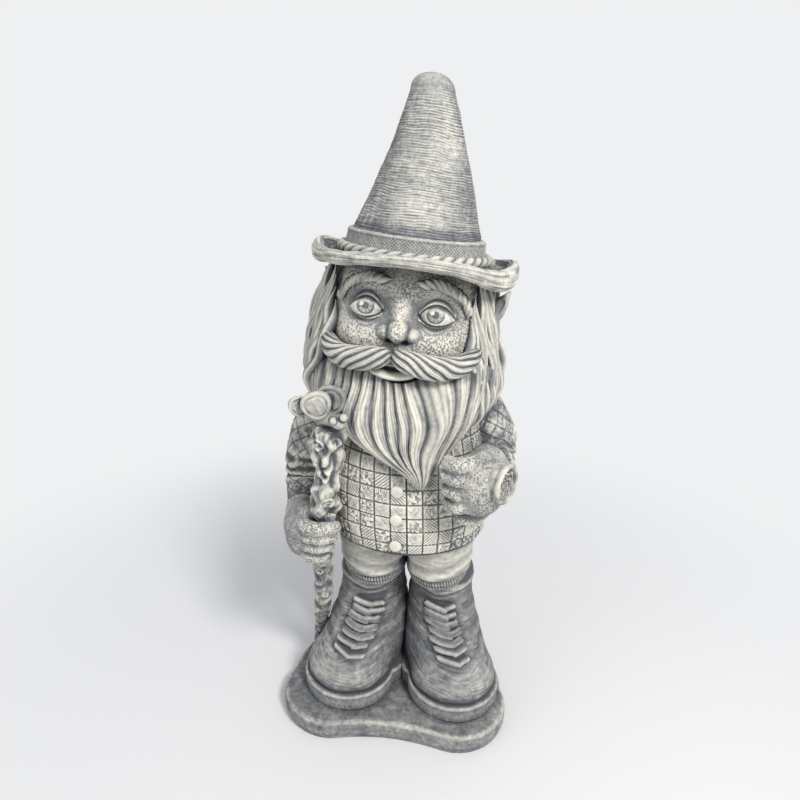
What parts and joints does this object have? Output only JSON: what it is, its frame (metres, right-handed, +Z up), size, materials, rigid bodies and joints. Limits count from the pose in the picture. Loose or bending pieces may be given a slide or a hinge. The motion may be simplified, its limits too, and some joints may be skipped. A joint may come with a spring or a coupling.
{
  "type": "garden gnome statue",
  "caption": "Cast-stone garden gnome with a tall pointed hat and a long beard, holding a walking staff and a short spyglass, on its own base.",
  "frame": {"origin": "centre of the flat underside of the base", "axes": "+Z up to the hat's tip, the gnome faces -Y, and +X is towards its own left hand"},
  "size_m": [0.2739, 0.2563, 0.7094],
  "materials": {
    "cast_stone": "matte, grey antiquing wash in the recesses and dry-brushed cream on the raised parts",
    "armature_steel": "plain steel rod, cast in"
  },
  "bodies": {
    "root": {"base_slab": "cast_stone", "beard": "cast_stone", "butterfly_body": "cast_stone", "butterfly_wings": "cast_stone", "hair": "cast_stone", "hat_band": "cast_stone", "hat_brim": "cast_stone", "hat_cord": "cast_stone", "hat_crown": "cast_stone", "head": "cast_stone", "left_boot_laces": "cast_stone", "left_boot_sole": "cast_stone", "left_boot_upper": "cast_stone", "left_ear": "cast_stone", "left_eye": "cast_stone", "left_eyebrow": "cast_stone", "left_hand": "cast_stone", "left_leg_rod": "armature_steel", "left_sleeve": "cast_stone", "left_sock": "cast_stone", "left_trouser_leg": "cast_stone", "lower_lip": "cast_stone", "moustache": "cast_stone", "nose": "cast_stone", "right_boot_laces": "cast_stone", "right_boot_sole": "cast_stone", "right_boot_upper": "cast_stone", "right_ear": "cast_stone", "right_eye": "cast_stone", "right_eyebrow": "cast_stone", "right_hand": "cast_stone", "right_leg_rod": "armature_steel", "right_sleeve": "cast_stone", "right_sock": "cast_stone", "right_trouser_leg": "cast_stone", "shirt_body": "cast_stone", "shirt_buttons": "cast_stone", "spine_rod": "armature_steel", "spyglass": "cast_stone", "spyglass_lens": "cast_stone", "walking_staff": "cast_stone"}
  },
  "joints": []
}
